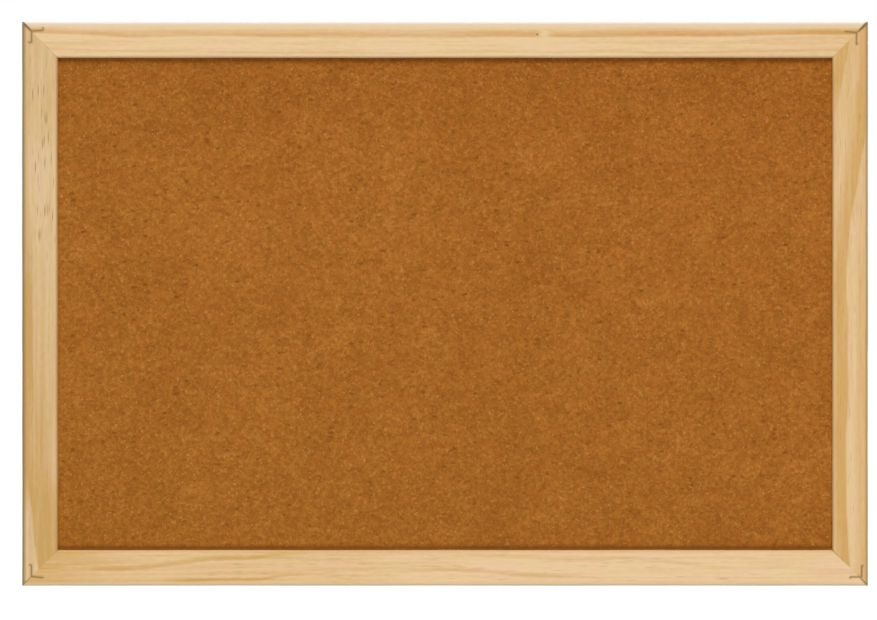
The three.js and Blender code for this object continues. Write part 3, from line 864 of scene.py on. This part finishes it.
def closed_sheet(name, front, back, cell, sink_front, sink_back, seed, flat_back):
    """Two grids of x and z, at the depths front + sink * grain and back - sink * grain, joined
    along their rims. The grain mixes features of 2 and 9 mm. A flat back is one single face."""
    columns, rows = int(PANEL_WIDTH / cell), int(PANEL_HEIGHT / cell)
    x = np.linspace(-PANEL_WIDTH / 2, PANEL_WIDTH / 2, columns)
    z = FRAME_MIDDLE + np.linspace(-PANEL_HEIGHT / 2, PANEL_HEIGHT / 2, rows)
    grid_x, grid_z = np.meshgrid(x, z)
    grain = 0.6 * smooth_noise(rows, columns, cell, 2.0, seed)
    grain += 0.4 * smooth_noise(rows, columns, cell, 9.0, seed + 1)
    grain[[0, -1]] = 0
    grain[:, [0, -1]] = 0
    face = np.stack([grid_x, front + sink_front * grain, grid_z], -1).reshape(-1, 3)
    rear = np.stack([grid_x, back - sink_back * grain, grid_z], -1).reshape(-1, 3)
    count, last = rows * columns, (rows - 1) * columns
    here = (np.arange(rows - 1)[:, None] * columns + np.arange(columns - 1)[None, :]).ravel()
    faces = np.stack([here, here + 1, here + columns + 1, here + columns], -1)
    rim = np.r_[
        np.arange(columns), np.arange(1, rows) * columns + columns - 1,
        np.arange(columns - 2, -1, -1) + last, np.arange(rows - 2, 0, -1) * columns,
    ]
    ring = count + np.arange(len(rim)) if flat_back else count + rim
    walls = np.stack([rim, np.roll(rim, -1), np.roll(ring, -1), ring], -1)
    behind = [ring.tolist()] if flat_back else (faces[:, ::-1] + count).tolist()
    points = np.vstack([face, rear[rim] if flat_back else rear])
    return build(name, points, faces.tolist() + walls.tolist() + behind)


cork = closed_sheet("granulated_cork_sheet", CORK_FRONT, CORK_BACK, 2.2, 0.25, 0.0, 5, True)
print("the cork's surface has", len(cork.data.vertices), "points")

# %% [markdown]
# The grains are cells of a Voronoi pattern whose coordinates are bent by noise, so that no
# grain has straight sides. One pattern draws grains of 3 mm and another of 1.5 mm, each grain
# with its own brown. A few are dark bark and a few are pale. Clouds of 10 to 100 mm come from
# the way the grains were mixed.

# %% The cork's finish
# A patch where the cork is a little paler, left of and above the middle of the sheet: full within
# 30 mm of its centre, and none beyond 250 mm
PALE_SPOT, PALE_REACH = (-165, CORK_FRONT, -197), 250.0

# The sheet is a little darker in the 50 mm next to the top and the bottom rail, and a little
# lighter above its middle. The photograph shows the sheet a little darker in the 50 mm next to the
# top and bottom rails. Its light may be the cause. Here the cork has these tones, as age, set by
# hand: (share of the height from the foot, tone), where 0.5 changes nothing
HEIGHT_TONES = [
    (0.0, 0.3), (0.06, 0.32), (0.12, 0.44), (0.25, 0.49), (0.5, 0.54), (0.72, 0.6), (0.8, 0.53),
    (0.86, 0.41), (0.92, 0.26), (1.0, 0.2),
]


def cork_tone(tree, place, cells, height):
    """Tone from 0 to 1: the middle, then plus or minus a weight for each cell's own number, for
    clouds of four sizes and for the height, and the paler patch."""
    shifts = list(cells)
    for size, weight in ((0.9, 0.13), (11, 0.13), (38, 0.13), (130, 0.09)):
        cloud = add(tree, "TexNoise", {"Vector": place, "Scale": 1 / size, "Detail": 2.0})
        shifts.append((cloud, weight))
    shifts.append((add(tree, "FloatCurve", {"Value": height}, line=HEIGHT_TONES), 0.1))
    tone = 0.5
    for value, weight in shifts:
        shift = add(tree, "MapRange", {"Value": value, "To Min": -weight, "To Max": weight})
        tone = add(tree, "Math", {0: tone, 1: shift}, operation="ADD")
    away = add(tree, "VectorMath", {0: place, 1: PALE_SPOT}, operation="DISTANCE").outputs["Value"]
    paler = {"Value": away, "From Min": PALE_REACH, "From Max": 30.0, "To Max": 0.03}
    paler = add(tree, "MapRange", paler, interpolation_type="SMOOTHSTEP")
    return add(tree, "Math", {0: tone, 1: paler}, operation="ADD")


def granulated_cork():
    settings = dict(IOR=1.45, Specular_IOR_Level=0.12)
    finish, tree, shader, place = new_finish("granulated_cork", **settings)
    right, _, up = add(tree, "SeparateXYZ", {0: place}).outputs
    height = add(tree, "MapRange", {"Value": up, "From Min": CORK_FOOT, "From Max": CORK_HEAD})
    bend = add(tree, "TexNoise", {"Vector": place, "Scale": 1 / 2.4, "Detail": 2.0})
    middle = (0.5, 0.5, 0.5)
    bend = add(tree, "VectorMath", {0: bend.outputs["Color"], 1: middle}, operation="SUBTRACT")
    bend = add(tree, "VectorMath", {0: bend, "Scale": 3.2}, operation="SCALE")
    bent = add(tree, "VectorMath", {0: place, 1: bend}, operation="ADD")
    numbers = []
    for size in (3.4, 1.7):
        grain = add(tree, "TexVoronoi", {"Vector": bent, "Scale": 1 / size})
        numbers.append(add(tree, "SeparateXYZ", {0: grain.outputs["Color"]}).outputs)
    (large, _, _), (small, dark_pick, pale_pick) = numbers
    tone = cork_tone(tree, place, ((large, 0.148), (small, 0.155)), height)
    colour = add(tree, "ValToRGB", {"Fac": tone}, stops=[
        (0.0, "#894c10"), (0.3, "#985919"), (0.5, "#a46321"), (0.7, "#b06e2a"), (1.0, "#c08342"),
    ])

    # One small grain in thirty is dark bark, and one in twenty-five is pale. Crumbs of bark, dark
    # and about 4 by 2 mm, lie level, because the block was pressed
    bark = {"Value": dark_pick, "From Min": 0.965, "From Max": 0.975, "To Max": 0.3}
    pale = {"Value": pale_pick, "From Min": 0.955, "From Max": 0.965, "To Max": 0.42}
    crumbs = add(tree, "Mapping", stretch(bent, 11, 6, 6))
    crumbs = add(tree, "TexVoronoi", {"Vector": crumbs, "Scale": 1.0})
    chosen = add(tree, "SeparateXYZ", {0: crumbs.outputs["Color"]}).outputs["X"]
    chosen = add(tree, "MapRange", {"Value": chosen, "From Min": 0.5, "To Max": 0.75})
    crumb = {"Value": crumbs.outputs["Distance"], "From Min": 0.34, "From Max": 0.14}
    crumb = add(tree, "MapRange", crumb, interpolation_type="SMOOTHSTEP")
    crumb = add(tree, "Math", {0: crumb, 1: chosen}, operation="MULTIPLY")
    for share, hue in (
        (add(tree, "MapRange", bark), "#6d3c10"), (add(tree, "MapRange", pale), "#c88d48"),
        (crumb, "#7c430f"),
    ):
        colour = add(tree, "Mix", {"Factor": share, "A": colour, "B": hue}, data_type="RGBA")

    # Patches of 15 mm where the binder is redder, and between them a little greener. The whole
    # sheet drifts the same way, from greener at the lower left to redder at the upper right
    hue = add(tree, "TexNoise", {"Vector": place, "Scale": 1 / 15, "Detail": 3.0})
    patches = {"From Min": 0.38, "From Max": 0.62, "To Min": -0.06, "To Max": 0.34}
    hue = add(tree, "MapRange", {"Value": hue, **patches})
    hue = add(tree, "Math", {0: right, 1: 0.3 / PANEL_WIDTH, 2: hue}, operation="MULTIPLY_ADD")
    hue = add(tree, "Math", {0: height, 1: 0.4, 2: hue}, operation="MULTIPLY_ADD")
    red = add(tree, "VectorMath", {0: colour, 1: (1.02, 0.97, 0.965)}, operation="MULTIPLY")
    green = add(tree, "VectorMath", {0: colour, 1: (0.978, 1.03, 1.0)}, operation="MULTIPLY")
    colour = add(tree, "Mix", {"Factor": hue, "A": green, "B": red}, data_type="RGBA")

    # Along the bottom rail's lip the cork is painted darker in a line 7 mm high: painted shade in
    # the corner between the sheet and the lip. Under the top rail's lip a second strip, 8 mm high,
    # paints the rail's shadow darker and warmer than this lamp gives: painted shadow. The material
    # holds both, so they stay under other light too
    for start, end, share, painted_shade_colour in (
        (CORK_FOOT + 7.2, CORK_FOOT + 2.4, 0.7, "#6f4010"),
        (CORK_HEAD - 8.0, CORK_HEAD - 2.5, 0.3, "#8c4408"),
    ):
        strip = {"Value": up, "From Min": start, "From Max": end, "To Max": share}
        strip = add(tree, "MapRange", strip, interpolation_type="SMOOTHSTEP")
        colour = add(tree, "Mix", {"Factor": strip, "A": colour, "B": painted_shade_colour}, data_type="RGBA")

    pits = {"Vector": bent, "Scale": 1 / 1.7}
    pits = add(tree, "TexVoronoi", pits, feature="DISTANCE_TO_EDGE")
    pits = {"Value": pits, "From Max": 0.25}
    pits = add(tree, "MapRange", pits, interpolation_type="SMOOTHSTEP")
    relief = add(tree, "TexNoise", {"Vector": place, "Scale": 1 / 1.1, "Detail": 3.0})
    relief = add(tree, "Math", {0: relief, 1: pits}, operation="ADD")
    bump = add(tree, "Bump", {"Height": relief, "Distance": 0.0001})
    rough = add(tree, "MapRange", {"Value": large, "To Min": 0.8, "To Max": 0.95})
    connect(tree, shader, {"Base Color": colour, "Roughness": rough, "Normal": bump})
    return finish


complete(cork, granulated_cork(), "cork", "root", "cork_sheet", crease=60)

# %% [markdown]
# ## Softboard and kraft paper behind the cork
# The core is softboard, felted from wood fibre, and only its edges would ever show. The back is
# closed with kraft paper, which cockles a little where the glue has dried.

# %% Softboard
def felted_softboard():
    finish, tree, shader, place = new_finish("felted_softboard", Roughness=0.95, IOR=1.45)
    felt = {"Vector": add(tree, "Mapping", stretch(place, 1.5, 0.6, 1.5)), "Scale": 1.0}
    felt = add(tree, "TexNoise", {**felt, "Detail": 4.0, "Roughness": 0.7})
    colour = add(tree, "ValToRGB", {"Fac": felt}, stops=[
        (0.3, "#7d6548"), (0.5, "#9c8263"), (0.7, "#b59c7a"),
    ])
    bump = add(tree, "Bump", {"Height": felt, "Distance": 0.0003})
    connect(tree, shader, {"Base Color": colour, "Normal": bump})
    return finish


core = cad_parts["core_board"]
core.data.materials.clear()
core.data.materials.append(felted_softboard())
print(core.name, "keeps its packed mesh, with", core.data.materials[0].name)


# %% Kraft paper
def kraft_paper():
    """Paper whose fibres lie in three directions, drawn 5 mm long, over soft clouds."""
    finish, tree, shader, place = new_finish("brown_kraft_paper", Roughness=0.8, IOR=1.5)
    web = 0.0
    for lean in (-0.75, -0.1, 0.6):
        hair = {"Vector": place, "Angle": lean}
        hair = add(tree, "VectorRotate", hair, rotation_type="Y_AXIS")
        hair = {"Vector": add(tree, "Mapping", stretch(hair, 5, 1, 0.8)), "Scale": 1.0}
        hair = add(tree, "TexNoise", {**hair, "Detail": 2.0, "Distortion": 2.2})
        web = add(tree, "Math", {0: hair, 1: 0.3, 2: web}, operation="MULTIPLY_ADD")
    cloud = add(tree, "TexNoise", {"Vector": place, "Scale": 1 / 14, "Detail": 4.0})
    mixed = add(tree, "Math", {0: cloud, 1: 0.1, 2: web}, operation="MULTIPLY_ADD")
    colour = add(tree, "ValToRGB", {"Fac": mixed}, stops=[
        (0.38, "#a07d51"), (0.5, "#b39066"), (0.62, "#c2a177"),
    ])
    bump = add(tree, "Bump", {"Height": web, "Distance": 0.0001})
    connect(tree, shader, {"Base Color": colour, "Normal": bump})
    return finish


liner = closed_sheet("kraft_back_liner", LINER_FRONT, LINER_BACK, 8.0, 0.0, 0.12, 9, False)
complete(liner, kraft_paper(), "kraft", "root", "back_liner", crease=60)

# %% [markdown]
# ## The hangers
# A strap of zinc plated steel strip is rolled over at the top into an eye that holds a wire
# ring, and two pan-head screws fasten it to the stile. The strap is one closed section carried
# along its own middle line, up the wood and round the eye, narrowing to a round at the foot.

# %% Strap and ring surfaces
EYE_HEIGHT, EYE_OUT, HANGER_SIDE = -71.0, 2.5, 431.0
STRAP_REACH, STRAP_HALF, STRAP_THICKNESS, STRAP_ROUND = 38.3, 6.0, 1.0, 0.22
EYE_RADIUS, EYE_END = 2.0, -116
RING_WIRE, RING_RADIUS, RING_BEND, RING_DROP, RING_JOINT = 1.1, 8.3, 2.0, 4.4, 0.15
SCREW_DROPS = (18.8, 31.8)


def strap_points(x0):
    """The middle line in Y and Z, with a section whose width follows the strap's outline: a half
    circle at the foot, then straight up the wood and round the eye at full width."""
    foot = STRAP_HALF * (1 - np.cos(np.linspace(0.1, math.pi / 2, 14)))
    rise = np.r_[foot, np.linspace(STRAP_HALF, STRAP_REACH, 12)[1:]]
    round_foot = np.sqrt(np.clip(STRAP_HALF**2 - (STRAP_HALF - rise) ** 2, 0, None))
    half = np.where(rise < STRAP_HALF, round_foot, STRAP_HALF)
    curl = np.radians(np.linspace(180, EYE_END, 40))[1:]
    line = np.vstack([
        np.c_[np.full(len(rise), STRAP_THICKNESS / 2), rise - STRAP_REACH],
        np.c_[EYE_OUT + EYE_RADIUS * np.cos(curl), EYE_RADIUS * np.sin(curl)],
    ])
    half = np.r_[half, np.full(len(curl), STRAP_HALF)]

    # The section: its width runs from -1 to 1, in shares of the strap's half width
    side, up = 1 - STRAP_ROUND / STRAP_HALF, STRAP_THICKNESS / 2 - STRAP_ROUND
    section = np.vstack([
        arc((side, up), STRAP_ROUND, 0, 90, 4),
        straight((0.9, 0.5), (-0.9, 0.5), 9),
        arc((-side, up), STRAP_ROUND, 90, 180, 4),
        arc((-side, -up), STRAP_ROUND, 180, 270, 4),
        straight((-0.9, -0.5), (0.9, -0.5), 9),
        arc((side, -up), STRAP_ROUND, 270, 360, 4),
    ])
    x = x0 + half[:, None] * np.clip(section[:, 0], -1, 1)
    yz = line[:, None] + section[None, :, 1:] * outward(line)[:, None]
    return np.stack([x, yz[..., 0], EYE_HEIGHT + yz[..., 1]], -1)


def ring_points(x0, around=20):
    """A round wire along straights and arcs: across the eye, round two bends and a half circle."""
    corner = RING_RADIUS - RING_BEND
    line = np.vstack([
        [RING_JOINT, 0],
        straight((RING_JOINT, 0), (corner, 0), 8),
        arc((corner, -RING_BEND), RING_BEND, 90, 0, 9),
        arc((0, -RING_DROP), RING_RADIUS, 0, -180, 41),
        arc((-corner, -RING_BEND), RING_BEND, 180, 90, 9),
        straight((-corner, 0), (-RING_JOINT, 0), 8),
        [-RING_JOINT, 0],
    ])
    turn = np.linspace(0, 2 * math.pi, around, endpoint=False)
    flat = line[:, None] + RING_WIRE * np.cos(turn)[None, :, None] * outward(line)[:, None]
    y = np.broadcast_to(EYE_OUT + RING_WIRE * np.sin(turn), flat.shape[:2])
    return np.stack([x0 + flat[..., 0], y, EYE_HEIGHT + flat[..., 1]], -1)


print("a ring is", round(2 * (RING_RADIUS - RING_WIRE), 1), "mm wide inside")

# %% [markdown]
# A screw is a surface of revolution whose radius also depends on the turn: the thread is a
# ridge that climbs by one pitch each time round. The head is a low dome with a cross recess,
# cut with two tapered bars. Each screw stopped at its own angle.

# %% Screws
SCREW_LENGTH, SCREW_RADIUS, SCREW_POINT, THREAD_PITCH = 11.0, 1.75, 4.0, 1.5
HEAD_RADIUS, HEAD_RIM, HEAD_HEIGHT, SCREW_SEAT = 3.5, 0.8, 2.2, 1.05
CORE_SHARE, RECESS_FOOT = 0.7, HEAD_HEIGHT - 1.7


def screw_points(x0, z0, around=36):
    """Radius by height and turn: core plus ridge on the shank, then seat, rim and dome. The core
    tapers to a point, and the ridge runs out over 0.8 mm, below a plain neck."""
    turn = np.linspace(0, 2 * math.pi, around, endpoint=False)[None, :]
    shank = np.arange(-SCREW_LENGTH, -0.7, 0.12)[:, None]
    taper = np.clip((shank + SCREW_LENGTH + 0.05) / SCREW_POINT, 0.01, 1) ** 0.8
    climb = (shank / THREAD_PITCH - turn / (2 * math.pi)) % 1 - 0.5
    ridge = np.clip(1 - 2.6 * abs(climb), 0, 1) * np.clip((-1.2 - shank) / 0.8, 0, 1)
    radius = SCREW_RADIUS * taper * (CORE_SHARE + (1 - CORE_SHARE) * ridge)
    angle = np.radians(np.linspace(12, 88, 10))
    head = np.array([
        (SCREW_RADIUS * 0.7, -0.6), (SCREW_RADIUS * 0.75, -0.05),
        (HEAD_RADIUS - 0.15, 0.0), (HEAD_RADIUS, 0.15), (HEAD_RADIUS, HEAD_RIM),
        *np.c_[HEAD_RADIUS * np.cos(angle), HEAD_RIM + (HEAD_HEIGHT - HEAD_RIM) * np.sin(angle)],
    ])
    radius = np.vstack([radius, np.repeat(head[:, :1], around, 1)])
    height = np.r_[shank[:, 0], head[:, 1]][:, None] + 0 * turn
    across, up = radius * np.cos(turn), radius * np.sin(turn)
    return np.stack([x0 + across, SCREW_SEAT + height, z0 + up], -1)


def recess_bar(x0, z0, angle):
    """A bar that narrows as it goes down into the head, turned about the screw's axis."""
    corners = np.array([(1, 1), (-1, 1), (-1, -1), (1, -1)]) / 2
    heading = np.array([(math.cos(angle), math.sin(angle)), (-math.sin(angle), math.cos(angle))])
    levels = []
    for rise, long, wide in ((0.3, 2.2, 0.5), (0.5, 2.6, 0.62), (2.6, 4.0, 0.95)):
        outline = (corners * (long, wide)) @ heading + (x0, z0)
        levels.append(np.insert(outline, 1, SCREW_SEAT + RECESS_FOOT + rise, axis=1))
    return tube("recess", np.array(levels))


print("a screw is", SCREW_LENGTH + HEAD_HEIGHT, "mm long in all")

# %% [markdown]
# ## Zinc plate
# Bright zinc plating on punched strip: a cool grey metal, slightly milky, with a soft cloudy
# bloom where the passivation varies, and fine rubbing marks along the strip.

# %% The finish, and the two hangers
def bright_zinc():
    finish, tree, shader, place = new_finish("bright_zinc_plate", Metallic=1.0)
    bloom = add(tree, "TexNoise", {"Vector": place, "Scale": 1 / 3.5, "Detail": 3.0})
    rub = add(tree, "Mapping", stretch(place, 0.25, 0.25, 5))
    rub = add(tree, "TexNoise", {"Vector": rub, "Scale": 1.0, "Detail": 2.0})
    colour = add(tree, "ValToRGB", {"Fac": bloom}, stops=[
        (0.3, "#a9adb0"), (0.55, "#c0c3c5"), (0.75, "#cfcfc8"),
    ])
    mixed = add(tree, "Math", {0: bloom, 1: rub}, operation="ADD")
    reach = {"From Min": 0.6, "From Max": 1.4, "To Min": 0.24, "To Max": 0.46}
    rough = add(tree, "MapRange", {"Value": mixed, **reach})
    bump = add(tree, "Bump", {"Height": rub, "Distance": 0.00003})
    connect(tree, shader, {"Base Color": colour, "Roughness": rough, "Normal": bump})
    return finish


zinc = bright_zinc()
turns = iter((0.35, 1.1, 0.8, 0.15))
for side, x0 in (("left", -HANGER_SIDE), ("right", HANGER_SIDE)):
    strap = tube(f"zinc_{side}_strap", strap_points(x0))
    holes = []
    for drop in SCREW_DROPS:
        circle = arc((x0, EYE_HEIGHT - drop), SCREW_RADIUS + 0.3, 0, 345, 24)
        wall = np.stack([np.insert(circle, 1, depth, axis=1) for depth in (-1.0, 2.0)])
        holes.append(tube("hole", wall))
    cut_away(strap, holes)
    complete(strap, zinc, "zinc", "root", f"{side}_hanger_strap")
    ring = tube(f"zinc_{side}_ring", ring_points(x0))
    complete(ring, zinc, "zinc", f"{side}_ring", f"{side}_hanger_ring")
    for place, drop in zip(("upper", "lower"), SCREW_DROPS):
        z0, turn = EYE_HEIGHT - drop, next(turns)
        screw = tube(f"zinc_{side}_screw_{place}", screw_points(x0, z0))
        cut_away(screw, [recess_bar(x0, z0, turn), recess_bar(x0, z0, turn + math.pi / 2)])
        complete(screw, zinc, "zinc", "root", f"{side}_hanger_screw_{place}")
